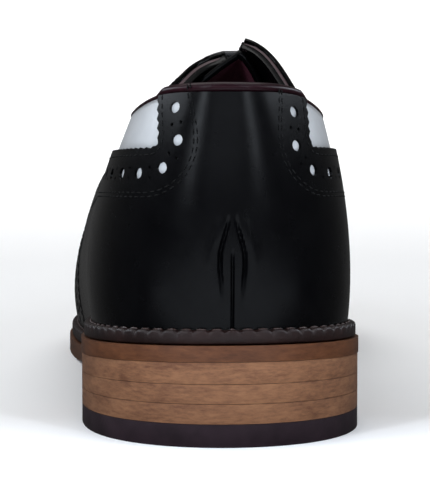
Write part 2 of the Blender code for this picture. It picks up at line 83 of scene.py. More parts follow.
def smoothLine(stations, values):  # natural cubic curve through a few values
    stations, values = np.asarray(stations, float), np.asarray(values, float)
    count = len(stations)
    step = np.diff(stations)
    slope = np.diff(values) / step
    matrix = np.eye(count)
    right = np.zeros(count)
    for i in range(1, count - 1):
        matrix[i, i - 1 : i + 2] = step[i - 1], 2 * (step[i - 1] + step[i]), step[i]
        right[i] = 6 * (slope[i] - slope[i - 1])
    bend = np.linalg.solve(matrix, right)

    def at(where):
        where = np.asarray(where, float)
        i = np.clip(np.searchsorted(stations, where) - 1, 0, count - 2)
        after, before = where - stations[i], stations[i + 1] - where
        curve = (bend[i] * before**3 + bend[i + 1] * after**3) / (6 * step[i])
        start = (values[i] / step[i] - bend[i] * step[i] / 6) * before
        return curve + start + (values[i + 1] / step[i] - bend[i + 1] * step[i] / 6) * after

    return at


def fullness(name):
    along = np.array(outline["along"], float)
    shares = np.array(outline[name]) / np.sqrt(along * (length - along))
    ends = [math.sqrt(2 * lasted[r] / length) for r in ("heelRadius", "toeRadius")]
    return smoothLine([0, *along, length], [ends[0], *shares, ends[1]])


widthOf = {s: fullness(end.lower()) for s, end in sides.items()}
centreOf = smoothLine([0, *outline["along"], length], [0, *outline["centre"], lasted["toeSwing"]])
ridgeHeight = smoothLine(ridge["along"], ridge["height"])
ridgeLean = smoothLine(ridge["along"], ridge["lean"])
riseOf = smoothLine(section["along"], section["rise"])
bellyOf, crownOf, dropOf = ({s: smoothLine(section["along"], section[word + end]) for s, end in sides.items()}
                            for word in ("belly", "crown", "drop"))
topOf = {s: smoothLine(topline["along"], topline[end.lower()]) for s, end in sides.items()}


def unit(vectors):
    return vectors / np.linalg.norm(vectors, axis=-1, keepdims=True)


def treadAt(y):  # underside of the outsole
    breast, start = lasted["breast"], lasted["treadStart"]
    seat = lasted["heelStack"] - lasted["heelPitch"] * np.minimum(y, breast)
    share = np.clip((y - breast) / (start - breast), 0, 1)
    fall = (2 * share**3 - 3 * share**2 + 1) * (lasted["heelStack"] - lasted["heelPitch"] * breast)
    sag = (share**3 - 2 * share**2 + share) * lasted["archSlope"] * (start - breast)
    spring = np.clip((y - lasted["treadEnd"]) / (length - lasted["treadEnd"]), 0, None)
    return np.where(y < breast, seat, fall + sag + lasted["toeSpring"] * spring ** lasted["springCurve"])


def soleTop(y):
    share = np.clip((y - lasted["breast"]) / (lasted["treadStart"] - lasted["breast"]), 0, 1)
    return treadAt(y) + lasted["outsoleHeel"] + (lasted["outsoleFore"] - lasted["outsoleHeel"]) * share


def weltTop(y):
    return soleTop(y) + lasted["gap"] + lasted["weltThick"]


def edgeAt(side, p, inset=0.0):  # plan of the sole's edge and the way out from it
    def raw(q):
        y = length / 2 * (1 - np.cos(math.pi * q))
        return np.stack([centreOf(y) + side * widthOf[side](y) * length / 2 * np.sin(math.pi * q), y], -1)

    run = raw(p + nudge) - raw(p - nudge)
    out = unit(side * np.stack([run[..., 1], -run[..., 0]], -1))
    return raw(p) - inset * out, out


def ridgeAlong(p):
    back, front = lasted["ridgeBack"], lasted["ridgeFront"]
    return (back + front) / 2 - (front - back) / 2 * np.cos(math.pi * p)


def ridgeX(y):
    return centreOf(y) + ridgeLean(y)


def lastPoint(side, p, t):  # p runs from the heel's back to the toe, t climbs from the welt to the ridge
    p, t = np.broadcast_arrays(np.asarray(p, float), np.asarray(t, float))
    plan, out = edgeAt(side, p, lasted["weltWidth"])
    station = length / 2 * (1 - np.cos(math.pi * p))
    foot = np.concatenate([plan, weltTop(plan[..., 1:])], -1)
    along = ridgeAlong(p)
    top = np.stack([ridgeX(along), along, ridgeHeight(along)], -1)
    slope = (ridgeHeight(along + 1) - ridgeHeight(along - 1)) / 2
    reach = foot[..., :2] - top[..., :2]
    low = foot.copy()
    low[..., :2] += out * bellyOf[side](station)[..., None]
    low[..., 2] += riseOf(station) * (top[..., 2] - foot[..., 2])
    high = top.copy()
    high[..., :2] += crownOf[side](station)[..., None] * reach
    high[..., 2] += crownOf[side](station) * reach[..., 1] * slope - dropOf[side](station)
    s = t[..., None]
    return (1 - s) ** 3 * foot + 3 * s * (1 - s) ** 2 * low + 3 * s**2 * (1 - s) * high + s**3 * top


def turnsAt(side, p, t):  # the two runs of the surface and its normal
    small = 1e-3
    q, s = np.clip(p, 2 * small, 1 - 2 * small), np.clip(t, 2 * small, 1 - 2 * small)
    alongP = (lastPoint(side, q + small, s) - lastPoint(side, q - small, s)) / (2 * small)
    alongT = (lastPoint(side, q, s + small) - lastPoint(side, q, s - small)) / (2 * small)
    normal = np.cross(alongP, alongT) * side
    middle = (p <= small) | (p >= 1 - small) | (t >= 1 - small)
    normal[..., 0] = np.where(middle, 0, normal[..., 0])
    return alongP, alongT, unit(normal)


def lifted(side, p, t, lift):
    p, t = np.broadcast_arrays(np.asarray(p, float), np.asarray(t, float))
    return lastPoint(side, p, t) + turnsAt(side, p, t)[2] * np.asarray(lift)[..., None]


def slitAt(y):
    share = np.clip((lasted["throatEnd"] - y) / (lasted["throatEnd"] - lasted["throatTop"]), 0, 1)
    return lasted["slitEnd"] + (lasted["slitTop"] - lasted["slitEnd"]) * share


def firstCrossing(t, over):
    i = np.where((over > 0).any(-1), (over > 0).argmax(-1), len(t) - 1)
    row = np.arange(len(over))
    low, high = over[row, i - 1], over[row, i]
    share = np.where(high > 0, -low / np.where(high > low, high - low, 1), 1)
    return t[i - 1] + (t[i] - t[i - 1]) * np.clip(share, 0, 1)


def topClimb(side, p):  # where the upper ends: topline, throat or ridge
    t = np.linspace(0.3, 1, climbSteps)  # the collar is nowhere lower
    x, y, z = np.moveaxis(lastPoint(side, np.asarray(p)[:, None], t[None]), -1, 0)
    over = z - topOf[side](np.minimum(y, topline["along"][-1]))
    inside = np.where((y < lasted["throatEnd"]) & (t > 0.6), slitAt(y) - np.abs(x - ridgeX(y)), -1)
    return firstCrossing(t, np.maximum(over, inside))


def downFrom(side, p, start, distance):  # climb a given distance below the start, on the surface
    t = start[:, None] * np.linspace(1, 0.2, 401)[None]
    points = lastPoint(side, np.asarray(p)[:, None], t)
    run = np.linalg.norm(np.diff(points, axis=1), axis=-1).cumsum(1)
    run = np.concatenate([np.zeros((len(run), 1)), run], 1)
    return np.array([np.interp(d, row, ts) for d, row, ts in zip(np.broadcast_to(distance, len(p)), run, t)])


def pAtY(side, t, y):  # p where the surface is at y
    low, high = np.full(np.shape(t), 0.02), np.full(np.shape(t), 0.98)
    for _ in range(40):
        middle = (low + high) / 2
        short = lastPoint(side, middle, t)[..., 1] < y
        low, high = np.where(short, middle, low), np.where(short, high, middle)
    return (low + high) / 2


def onLast(x, y):  # side, p and t of a plan point near the ridge
    side = inner if x > ridgeX(y) else outer
    p, t = 0.5, 0.9
    for _ in range(30):
        here = lastPoint(side, p, t)
        runs = [lastPoint(side, p + nudge, t) - here, lastPoint(side, p, t - nudge) - here]
        move = np.linalg.solve(np.stack(runs, -1)[:2] / nudge, np.array([x, y]) - here[:2])
        p, t = p + move[0], t - move[1]
    return side, p, t


# from the last's own axes to the shared frame: the toe swings onto +Y and the outline is centred
toeTurn = math.atan2(lasted["toeSwing"], length - lasted["heelRadius"])
rim = np.concatenate([edgeAt(s, np.linspace(0, 1, 400))[0] for s in sides])
turned = rim @ np.array([[math.cos(toeTurn), math.sin(toeTurn)], [-math.sin(toeTurn), math.cos(toeTurn)]])
middleX, middleY = (turned.min(0) + turned.max(0)) / 2 * mm
shoeTurn = Matrix.Translation((-middleX, -middleY, 0)) @ Matrix.Rotation(toeTurn, 4, "Z") @ Matrix.Scale(mm, 4)


def inFrame(points):
    m = np.array(shoeTurn)
    return np.asarray(points) @ m[:3, :3].T + m[:3, 3]


# materials
def tone(r, g, b):  # photo colour to linear
    share = np.array([r, g, b]) / 255
    return (*np.where(share <= 0.04045, share / 12.92, ((share + 0.055) / 1.055) ** 2.4), 1)


def addNode(paint, kind, values, feeds, operation=None):  # a node, its fixed values and what feeds its sockets
    node = paint.node_tree.nodes.new(kind)
    if operation:
        node.operation = operation
    for socket, value in values.items():
        node.inputs[socket].default_value = value
    for socket, source in feeds.items():
        paint.node_tree.links.new(source, node.inputs[socket])
    return node


def startMaterial(name, roughness, specular=0.5, coat=0.0, coatRoughness=0.25):
    paint = bpy.data.materials.new(name)
    paint.use_nodes = True
    shader = paint.node_tree.nodes["Principled BSDF"]
    shader.inputs["Roughness"].default_value = roughness
    shader.inputs["Specular IOR Level"].default_value = specular
    shader.inputs["Coat Weight"].default_value = coat
    shader.inputs["Coat Roughness"].default_value = coatRoughness
    return paint, shader, addNode(paint, "ShaderNodeTexCoord", {}, {}).outputs["Object"]


def feedShader(paint, shader, colour, normal):
    paint.node_tree.links.new(colour, shader.inputs["Base Color"])
    paint.node_tree.links.new(normal, shader.inputs["Normal"])


def noiseNode(paint, vector, scale, detail=3.0, roughness=0.55):
    values = {"Scale": scale, "Detail": detail, "Roughness": roughness}
    return addNode(paint, "ShaderNodeTexNoise", values, {"Vector": vector}).outputs["Fac"]


def rampNode(paint, value, stops):
    node = addNode(paint, "ShaderNodeValToRGB", {}, {"Fac": value})
    for element, (position, colour) in zip(node.color_ramp.elements, stops):
        element.position, element.color = position, colour
    return node.outputs["Color"]


def bumpNode(paint, height, depth, strength=1.0, under=None):
    feeds = {"Height": height} if under is None else {"Height": height, "Normal": under}
    return addNode(paint, "ShaderNodeBump", {"Distance": depth, "Strength": strength}, feeds).outputs["Normal"]


grainSet = dict(mottle=90, ripple=60, pores=1500, sheen=220, sheenSpread=(0.8, 1.25))  # scales for one metre


def leatherMaterial(name, dark, light, roughness, grain, ripple, specular=0.5, coat=0.0):
    paint, shader, vector = startMaterial(name, roughness, specular, coat)
    mottle = noiseNode(paint, vector, grainSet["mottle"], 4)
    pores = addNode(paint, "ShaderNodeTexVoronoi", {"Scale": grainSet["pores"]}, {"Vector": vector})
    soft = bumpNode(paint, noiseNode(paint, vector, grainSet["ripple"], 2), ripple)
    fine = bumpNode(paint, pores.outputs["Distance"], grain, 0.6, soft)
    feedShader(paint, shader, rampNode(paint, mottle, [(0.3, dark), (0.7, light)]), fine)
    spread = dict(zip(("To Min", "To Max"), (roughness * share for share in grainSet["sheenSpread"])))
    cloud = noiseNode(paint, vector, grainSet["sheen"], 3)
    sheen = addNode(paint, "ShaderNodeMapRange", spread, {"Value": cloud})
    paint.node_tree.links.new(sheen.outputs["Result"], shader.inputs["Roughness"])
    return paint


fibreSet = dict(flatten=4, share=0.65, blotch=5, span=(0.36, 0.62), bump=0.0001, specular=0.2)


def stackedLeather(name, dark, light, scale, roughness=0.55):
    # short fibres that lie flat, as on a cut and waxed edge
    paint, shader, vector = startMaterial(name, roughness, fibreSet["specular"])
    flat = addNode(paint, "ShaderNodeMapping", {"Scale": (1, 1, fibreSet["flatten"])}, {"Vector": vector}).outputs[0]
    fibre, blotch = noiseNode(paint, flat, scale, 6, 0.7), noiseNode(paint, flat, scale / fibreSet["blotch"], 3)
    rest = addNode(paint, "ShaderNodeMath", {1: 1 - fibreSet["share"]}, {0: blotch}, "MULTIPLY").outputs[0]
    mix = addNode(paint, "ShaderNodeMath", {1: fibreSet["share"]}, {0: fibre, 2: rest}, "MULTIPLY_ADD").outputs[0]
    colour = rampNode(paint, mix, zip(fibreSet["span"], (dark, light)))
    feedShader(paint, shader, colour, bumpNode(paint, fibre, fibreSet["bump"], 0.5))
    return paint


def rubberMaterial(name, dark, light):
    paint, shader, vector = startMaterial(name, 0.55, 0.12)
    cloud, pits = noiseNode(paint, vector, 120, 4), noiseNode(paint, vector, 900, 3)
    colour = rampNode(paint, cloud, [(0.3, dark), (0.7, light)])
    feedShader(paint, shader, colour, bumpNode(paint, pits, 0.0001, 0.5))
    return paint


def threadMaterial(name, dark, pale, roughness=0.5, specular=0.5):
    paint, shader, vector = startMaterial(name, roughness, specular)
    twist = addNode(paint, "ShaderNodeTexWave", {"Scale": 700}, {"Vector": vector})
    twist.bands_direction = "DIAGONAL"
    plies = rampNode(paint, twist.outputs["Fac"], [(0.2, dark), (0.9, pale)])
    feedShader(paint, shader, plies, bumpNode(paint, twist.outputs["Fac"], 0.00015, 0.7))
    return paint


blackCalf = leatherMaterial("blackCalf", tone(2, 2, 3), tone(5, 5, 6), 0.25, 0.000012, 0.0001, 0.075)
whiteCalf = leatherMaterial("whiteCalf", tone(168, 170, 173), tone(178, 180, 182), 0.42, 0.00003, 0.00015, coat=0.1)
# painted light: the lining is made darker to stand for the shade inside the shoe, and the tongue's lining is a lighter
# copy of it that stands for the light falling on the tongue's arch
shadedLiningCalf = leatherMaterial("shadedLiningCalf", tone(46, 20, 28), tone(60, 28, 37), 0.5, 0.00005, 0.0002)
litTongueLining = leatherMaterial("litTongueLining", tone(92, 46, 60), tone(108, 57, 72), 0.5, 0.00005, 0.0002)
pipingCalf = leatherMaterial("pipingCalf", tone(21, 5, 10), tone(31, 9, 15), 0.28, 0.00003, 0.0001, 0.1)
weltLeather = leatherMaterial("weltLeather", tone(19, 8, 7), tone(31, 15, 13), 0.45, 0.00006, 0.0002, 0.2)
soleEdge = stackedLeather("soleEdge", tone(62, 32, 14), tone(90, 53, 29), 240, 0.45)
liftLeather = stackedLeather("liftLeather", tone(86, 53, 34), tone(122, 84, 57), 320)
heelRubber = rubberMaterial("heelRubber", tone(28, 18, 23), tone(41, 29, 35))
blackThread = threadMaterial("blackThread", tone(3, 3, 3), tone(8, 8, 9), 0.7, 0.1)
weltThread = threadMaterial("weltThread", tone(40, 22, 19), tone(66, 42, 35))
laceCotton = threadMaterial("laceCotton", tone(14, 13, 15), tone(36, 35, 39), 0.4)
print("materials ready")


# helpers that make and finish a piece
def addPiece(name, data, materials, nodes=()):
    piece = bpy.data.objects.new(name, data)
    for paint in materials:
        data.materials.append(paint)
    bpy.context.scene.collection.objects.link(piece)
    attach(piece, "root")
    if nodes:
        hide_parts(*nodes)
    return piece


allSmooth = 181  # no edge is as sharp


def toMesh(name, mesh, sharpAngle=40):
    mesh.transform(shoeTurn)
    for face in mesh.faces:
        face.smooth = True
    for edge in mesh.edges:
        if len(edge.link_faces) == 2 and edge.calc_face_angle(0) > math.radians(sharpAngle):
            edge.smooth = False
    data = bpy.data.meshes.new(name)
    mesh.to_mesh(data)
    mesh.free()
    return data


def layGrid(mesh, uCount, vCount, place):  # a grid that its function lays out
    grid = bmesh.ops.create_grid(mesh, x_segments=uCount, y_segments=vCount, size=0.5)
    share = np.array([vert.co[:2] for vert in grid["verts"]]) + 0.5
    for vert, point in zip(grid["verts"], place(share[:, 0], share[:, 1])):
        vert.co = point


def settleFaces(mesh):
    bmesh.ops.recalc_face_normals(mesh, faces=mesh.faces)


weldGap = 0.02
shoeMiddle = Vector((10, 150, 40))


def faceOut(mesh):  # faces point away from the middle of the shoe
    bmesh.ops.remove_doubles(mesh, verts=mesh.verts, dist=weldGap)
    settleFaces(mesh)
    out = sum(f.calc_area() * f.normal.dot(f.calc_center_median() - shoeMiddle) for f in mesh.faces)
    if out < 0:
        bmesh.ops.reverse_faces(mesh, faces=mesh.faces)


def addWall(piece, thickness, inside=0, rimPaint=0, even=True):
    wall = piece.modifiers.new("wall", "SOLIDIFY")
    wall.thickness = thickness * mm
    wall.offset = -1
    wall.use_even_offset = even
    wall.use_quality_normals = True
    wall.material_offset = inside
    wall.material_offset_rim = rimPaint


# white upper with its burgundy lining
upperSet = dict(around=110, climbs=34, wall=2.2, inkBack=0.372, inkFront=188, inkAbove=60)


def upperHalf(mesh, side):
    pSteps = np.linspace(0, 1, upperSet["around"] + 1)
    ends = topClimb(side, pSteps)
    rows = upperSet["climbs"]

    def place(u, v):
        row = np.round(v * rows)
        i = np.round(u * upperSet["around"]).astype(int)
        points = lastPoint(side, pSteps[i], ends[i] * np.clip((row - 1) / (rows - 1), 0, 1))
        points[:, 2] = np.where(row == 0, soleTop(points[:, 1]) + lasted["gap"], points[:, 2])
        return points

    layGrid(mesh, upperSet["around"], rows, place)


upperMesh = bmesh.new()
for side in sides:
    upperHalf(upperMesh, side)
faceOut(upperMesh)
inkFrom = lastPoint(inner, upperSet["inkBack"], topClimb(inner, [upperSet["inkBack"]])[0])[1]
for edge in upperMesh.edges:  # the cut edge is inked black where the facings lie on it
    middle = (edge.verts[0].co + edge.verts[1].co) / 2
    if edge.is_boundary and middle.z > upperSet["inkAbove"] and inkFrom < middle.y < upperSet["inkFront"]:
        edge.link_faces[0].material_index = 2
whiteUpper = addPiece("whiteUpper", toMesh("whiteUpper", upperMesh, 60),
                      [whiteCalf, shadedLiningCalf, blackCalf, shadedLiningCalf], ["upper"])
addWall(whiteUpper, upperSet["wall"], 1, 1)
print("upper laid")


# paths on the last, as rows of p and t
def stepOn(side, path, move):  # moves points of a path by a vector on the surface
    alongP, alongT, _ = turnsAt(side, *path.T)
    a, b, c = (alongP**2).sum(-1), (alongP * alongT).sum(-1), (alongT**2).sum(-1)
    e, f = (alongP * move).sum(-1), (alongT * move).sum(-1)
    det = a * c - b * b
    return path + np.stack([(c * e - b * f) / det, (a * f - b * e) / det], -1)


def evenly(side, path, spacing):  # even steps along a path
    run = np.linalg.norm(np.diff(lastPoint(side, *path.T), axis=0), axis=1)
    run = np.concatenate([[0], run.cumsum()])
    count = max(2, int(round(run[-1] / spacing)))
    at = np.linspace(0, run[-1], count + 1)
    return np.stack([np.interp(at, run, path[:, 0]), np.interp(at, run, path[:, 1])], -1), at


pathStep = 0.5


def eased(side, path, reach):  # rounds the corners of a path
    path, _ = evenly(side, path, pathStep)
    count = int(reach / pathStep)
    weight = np.hanning(2 * count + 3)[1:-1]
    padded = np.concatenate([2 * path[:1] - path[count:0:-1], path, 2 * path[-1:] - path[-2 : -count - 2 : -1]])
    return np.stack([np.convolve(padded[:, k], weight / weight.sum(), "valid") for k in (0, 1)], -1)


def beside(side, path, distance):  # a path parallel to another, to its left seen from outside when positive
    points = lastPoint(side, *path.T)
    run = np.gradient(points, axis=0)
    normal = turnsAt(side, *path.T)[2]
    across = unit(np.cross(normal, run))
    return stepOn(side, path, across * np.asarray(distance).reshape(-1, 1))


# gimped edges and punched holes
punchSet = dict(
    inset=7.0, pitch=9.1, margin=5.0, large=1.6, largeSides=14, small=0.5, smallSides=8, pair=1.4,
    gimpPitch=2.7, gimpDepth=0.75, gimpSteps=8, gimpEase=0.6, stitchInsets=(2.2, 12.2, 13.3),
    sunk=1.05, backingRim=0.25, backingThick=0.5,
)
seams = []  # side, path and lift of each row of stitches
backings = []  # side and place of each large hole, where the white shows through


def gimped(side, path, inward, share=1.0):  # toothed edge
    path, at = evenly(side, path, punchSet["gimpPitch"] / punchSet["gimpSteps"])
    teeth = max(1, round(at[-1] / punchSet["gimpPitch"]))
    wave = np.abs(2 * ((at / at[-1] * teeth) % 1) - 1)
    ease = np.clip(np.minimum(at, at[-1] - at) / punchSet["gimpEase"], 0, 1)
    return beside(side, path, inward * punchSet["gimpDepth"] * share * wave * ease)


def ringOn(side, spot, radius, count):  # round hole on the surface
    angle = np.linspace(0, 2 * math.pi, count, endpoint=False)
    alongP, _, normal = turnsAt(side, *spot)
    first = unit(alongP)
    second = np.cross(normal, first)
    move = radius * (np.cos(angle)[:, None] * first + np.sin(angle)[:, None] * second)
    return stepOn(side, np.repeat(spot[None], count, 0), move)


def broguing(side, path, inward, margin=punchSet["margin"], inset=punchSet["inset"]):
    # large holes with pairs of pinholes between
    line, at = evenly(side, beside(side, path, inward * inset), pathStep)
    first, last = at[(at > margin) & (at < at[-1] - margin)][[0, -1]]
    steps = max(1, round((last - first) / punchSet["pitch"]))
    holes = []
    for i, where in enumerate(np.linspace(first, last, 2 * steps + 1)):
        near = np.array([[np.interp(where + d, at, line[:, k]) for k in (0, 1)] for d in (-0.3, 0, 0.3)])
        if i % 2 == 0:
            holes.append((side, ringOn(side, near[1], punchSet["large"], punchSet["largeSides"])))
            backings.append((side, near[1]))
            continue
        for way in (-1, 1):
            pin = beside(side, near, way * punchSet["pair"])[1]
            holes.append((side, ringOn(side, pin, punchSet["small"], punchSet["smallSides"])))
    return holes


# overlays: a pattern is cut flat, with p and t as its axes, and laid on the last
patternScale = np.array([300.0, 100.0])


def signed(side, path, folds):  # the flat x is zero at the fold, heel or toe, and its sign is the side
    across = path[:, 0] if folds == "heel" else 1 - path[:, 0]
    return np.stack([side * across, path[:, 1]], -1) * patternScale


def overlay(name, node, loop, holes, folds, cuts, shape, swell=None):
    lift, base = shape["lift"], shape["lift"] - shape["wall"]

    def laid(plan, height, outside):
        across, t = plan[:, 0] / patternScale[0], np.minimum(plan[:, 1] / patternScale[1], 1)
        p = np.abs(across) if folds == "heel" else 1 - np.abs(across)
        points = np.zeros((len(plan), 3))
        for side in sides:
            rows = (across < 0) == (side == outer)
            if rows.any():
                rise = np.full(rows.sum(), float(height))
                if swell is not None and outside:
                    rise = rise + swell(lastPoint(side, p[rows], t[rows]))
                points[rows] = lifted(side, p[rows], t[rows], rise)
        return points

    mesh = bmesh.new()
    for ring in [loop] + [signed(side, path, folds) for side, path in holes]:
        verts = [mesh.verts.new((x, y, 0)) for x, y in ring]
        for a, b in zip(verts, verts[1:] + verts[:1]):
            mesh.edges.new((a, b))
    bmesh.ops.triangle_fill(mesh, edges=mesh.edges[:], use_beauty=True, use_dissolve=False, normal=(0, 0, 1))
    for way, values in zip((Vector((1, 0, 0)), Vector((0, 1, 0))), cuts):
        for value in values:
            bmesh.ops.bisect_plane(mesh, geom=mesh.verts[:] + mesh.edges[:] + mesh.faces[:], dist=1e-5,
                                   plane_co=way * value, plane_no=way)
    pattern = mesh.verts.layers.float_vector.new("pattern")  # flat place of each point, then 1 on the outside
    plan = np.array([vert.co[:2] for vert in mesh.verts])
    for vert, spot, point in zip(mesh.verts, plan, laid(plan, base, False)):
        vert[pattern] = (*spot, 0)
        vert.co = point
    faceOut(mesh)
    bmesh.ops.reverse_faces(mesh, faces=mesh.faces)
    grown = bmesh.ops.extrude_face_region(mesh, geom=mesh.faces[:])["geom"]
    fresh = [vert for vert in grown if isinstance(vert, bmesh.types.BMVert)]
    plan = np.array([vert[pattern][:2] for vert in fresh])
    for vert, point in zip(fresh, laid(plan, lift, True)):
        vert.co = point
        vert[pattern] = (*vert[pattern][:2], 1)
    settleFaces(mesh)
    # normals come from the smooth surface itself
    mesh.verts.index_update()
    stored = np.array([vert[pattern] for vert in mesh.verts])
    normals = np.zeros((len(stored), 3))
    probe = 0.06  # step on the flat pattern
    for outside, height, way in ((0, base, -1), (1, lift, 1)):
        rows = stored[:, 2] == outside
        spot = stored[rows, :2].copy()
        spot[:, 1] = np.clip(spot[:, 1], 0.3, 99.8)  # off the foot and the ridge
        runs = [laid(spot + probe * e, height, outside) - laid(spot - probe * e, height, outside) for e in np.eye(2)]
        face = np.cross(*runs) * (way if folds == "heel" else -way)
        face[:, 0] = np.where(stored[rows, 1] > 99.7, 0, face[:, 0])
        normals[rows] = unit(face)
    turn = np.array(Matrix.Rotation(toeTurn, 3, "Z"))
    data = toMesh(name, mesh, allSmooth)
    data.normals_split_custom_set_from_vertices([Vector(n) for n in normals @ turn.T])
    addPiece(name, data, [blackCalf], [node])


def lineTo(first, last, count):
    share = np.linspace(0, 1, count)[:, None]
    return np.asarray(first) + (np.asarray(last) - np.asarray(first)) * share


def joined(*paths):  # one closed loop without doubled corners
    loop = np.concatenate(paths)
    step = np.linalg.norm(loop - np.roll(loop, 1, 0), axis=1)
    return loop[step > 1e-4]


# black counter, with the dart that shapes it at the back
counterSet = dict(
    rise={outer: 0.134, inner: 0.1445}, notch={outer: 0.1095, inner: 0.127}, front={outer: 166.6, inner: 165.6},
    edgeAlong=(10, 40, 80, 110, 140, 168), edgeHeight=(80.5, 77.5, 73.0, 68.0, 60.0, 49.0),
    foot=0.004, collarGap=0.002, lift=1.55, wall=1.2, corner=5.0,
    backColumns=(-0.03, 0.03, 57), columns=(0.04, 0.54, 0.009),  # the dart has finer columns
    lowRows=(0.012, 0.42, 0.012), highRows=(0.44, 0.98, 0.026),
)
dartSet = dict(
    z=(34, 41, 46, 50, 53, 57, 59.5, 63), spread=(2.4, 2.6, 3.0, 3.3, 3.1, 2.0, 1.3, 0.7),
    depth=(0, 0.2, 0.65, 1, 1, 1, 0.7, 0), trough=1.2, half=0.78, shoulder=0.3, shoulderOut=2.3, shoulderWidth=1.2,
    seam=1.0, seamHalf=0.5, seamTop=53.5, seamEase=3.0, front=14, frontEase=6,
)
wingOf = smoothLine(counterSet["edgeAlong"], counterSet["edgeHeight"])


def dartSwell(points):
    x, z = np.abs(points[:, 0]), points[:, 2]
    back = np.clip((dartSet["front"] - points[:, 1]) / dartSet["frontEase"], 0, 1)
    spread = np.interp(z, dartSet["z"], dartSet["spread"])
    depth = np.interp(z, dartSet["z"], dartSet["depth"])
    gullies = dartSet["trough"] * np.clip(1 - np.abs(x - spread) / dartSet["half"], 0, 1)
    hump = (x - spread - dartSet["shoulderOut"]) / dartSet["shoulderWidth"]
    sewn = dartSet["seam"] * np.clip((dartSet["seamTop"] - z) / dartSet["seamEase"], 0, 1)
    sewn = sewn * np.clip(1 - x / dartSet["seamHalf"], 0, 1)
    return back * (depth * (dartSet["shoulder"] * np.exp(-(hump**2)) - gullies) - sewn)


def counterEdge(side):
    front = math.acos(1 - 2 * counterSet["front"][side] / length) / math.pi
    pSteps = np.linspace(counterSet["notch"][side], front, 90)
    t = np.linspace(0.05, 1, climbSteps)
    points = lastPoint(side, pSteps[:, None], t[None])
    wing = firstCrossing(t, points[..., 2] - wingOf(points[..., 1]))
    rise = np.array([counterSet["rise"][side]])
    fall = lineTo((rise[0], topClimb(side, rise)[0] - counterSet["collarGap"]), (pSteps[0], wing[0]), 30)
    return eased(side, np.concatenate([fall[:-1], np.stack([pSteps, wing], -1)]), counterSet["corner"])


def addCounter():
    halves, holes = {}, []
    for side in sides:
        edge = counterEdge(side)
        inward = -side  # the body of the counter lies to this hand of the edge
        teeth = gimped(side, edge, inward)
        holes += broguing(side, edge, inward)
        for inset in punchSet["stitchInsets"]:
            seams.append((side, beside(side, edge, inward * inset), counterSet["lift"]))
        pTop = np.linspace(0, teeth[0, 0], 24)
        collar = np.stack([pTop, topClimb(side, pTop) - counterSet["collarGap"]], -1)
        bottom = lineTo((teeth[-1, 0], counterSet["foot"]), (0, counterSet["foot"]), 40)
        halves[side] = signed(side, np.concatenate([collar[:-1], teeth, bottom]), "heel")
    loop = joined(halves[inner], halves[outer][::-1])
    wide = np.arange(*counterSet["columns"])
    columns = np.concatenate([np.linspace(*counterSet["backColumns"]), wide, -wide])
    rows = np.concatenate([np.arange(*counterSet["lowRows"]), np.arange(*counterSet["highRows"])])
    cuts = columns * patternScale[0], rows * patternScale[1]
    overlay("blackCounter", "counter", loop, holes, "heel", cuts, counterSet, dartSwell)


addCounter()
print("counter cut")

# black wing tip
tipSet = dict(
    climb=(0, 0.1, 0.2, 0.3, 0.38, 0.45, 0.6, 0.75, 0.86, 0.94, 1.0),
    along=(167.4, 167.1, 166.9, 166.9, 167.6, 172, 202, 234, 243, 235, 222),
    foot=0.004, lift=1.7, wall=1.2, holesTo=0.94, margin=7.0, rowsTo=(0.985, 0.88, 0.87), rowSpan=(0.02, 0.992),
    columns=(0, 0.56, 0.01), columnShift=0.004, rows=(0.03, 0.99, 0.03),
)
tipOf = smoothLine(tipSet["climb"], tipSet["along"])


def addTip():
    halves, holes = {}, []
    low, high = tipSet["rowSpan"]
    for side in sides:
        t = np.linspace(tipSet["foot"], 1, 160)
        edge = np.stack([pAtY(side, t, tipOf(t)), t], -1)
        inward = -side
        teeth = gimped(side, edge, inward)
        holes += broguing(side, edge[t < tipSet["holesTo"]], inward, tipSet["margin"])
        for inset, reach in zip(punchSet["stitchInsets"], tipSet["rowsTo"]):
            row = beside(side, edge[t < reach], inward * inset)
            seams.append((side, row[(row[:, 1] > low) & (row[:, 1] < high)], tipSet["lift"]))
        ridgeRow = lineTo((edge[-1, 0], 1), (1, 1), 30)
        bottom = lineTo((1, tipSet["foot"]), (edge[0, 0], tipSet["foot"]), 40)
        top = np.concatenate([edge[:1], teeth[1:-1], ridgeRow])
        halves[side] = signed(side, top, "toe"), signed(side, bottom, "toe")
    loop = joined(halves[inner][0], halves[outer][0][::-1], halves[outer][1][::-1], halves[inner][1])
    wide = np.arange(*tipSet["columns"]) + tipSet["columnShift"]
    cuts = np.concatenate([wide, -wide]) * patternScale[0], np.arange(*tipSet["rows"]) * patternScale[1]
    overlay("blackWingTip", "toe_cap", loop, holes, "toe", cuts, tipSet)


addTip()
print("wing tip cut")

# black facings along the throat
facingSet = dict(
    back=0.372, frontGap=0.004, width=17, backShare=0.25, widening=0.3, edge=0.3, lift=1.6, wall=1.2, corner=3.0,
    eyeletsAt=(141, 152, 163, 174, 185), offset=9.5, eyelet=1.75, eyeletSides=16, gimpShare=0.9,
    steps=120, wideFrom=34, inset=4.8, margin=2.0, innerRow=8.0, columns=(0.39, 0.70, 0.006), rows=(0.4, 0.99, 0.02),
)
ridgeMiddle = (lasted["ridgeBack"] + lasted["ridgeFront"]) / 2
ridgeHalf = (lasted["ridgeFront"] - lasted["ridgeBack"]) / 2


def ridgeP(y):
    return math.acos((ridgeMiddle - y) / ridgeHalf) / math.pi


facingFront = ridgeP(lasted["throatEnd"]) - facingSet["frontGap"]


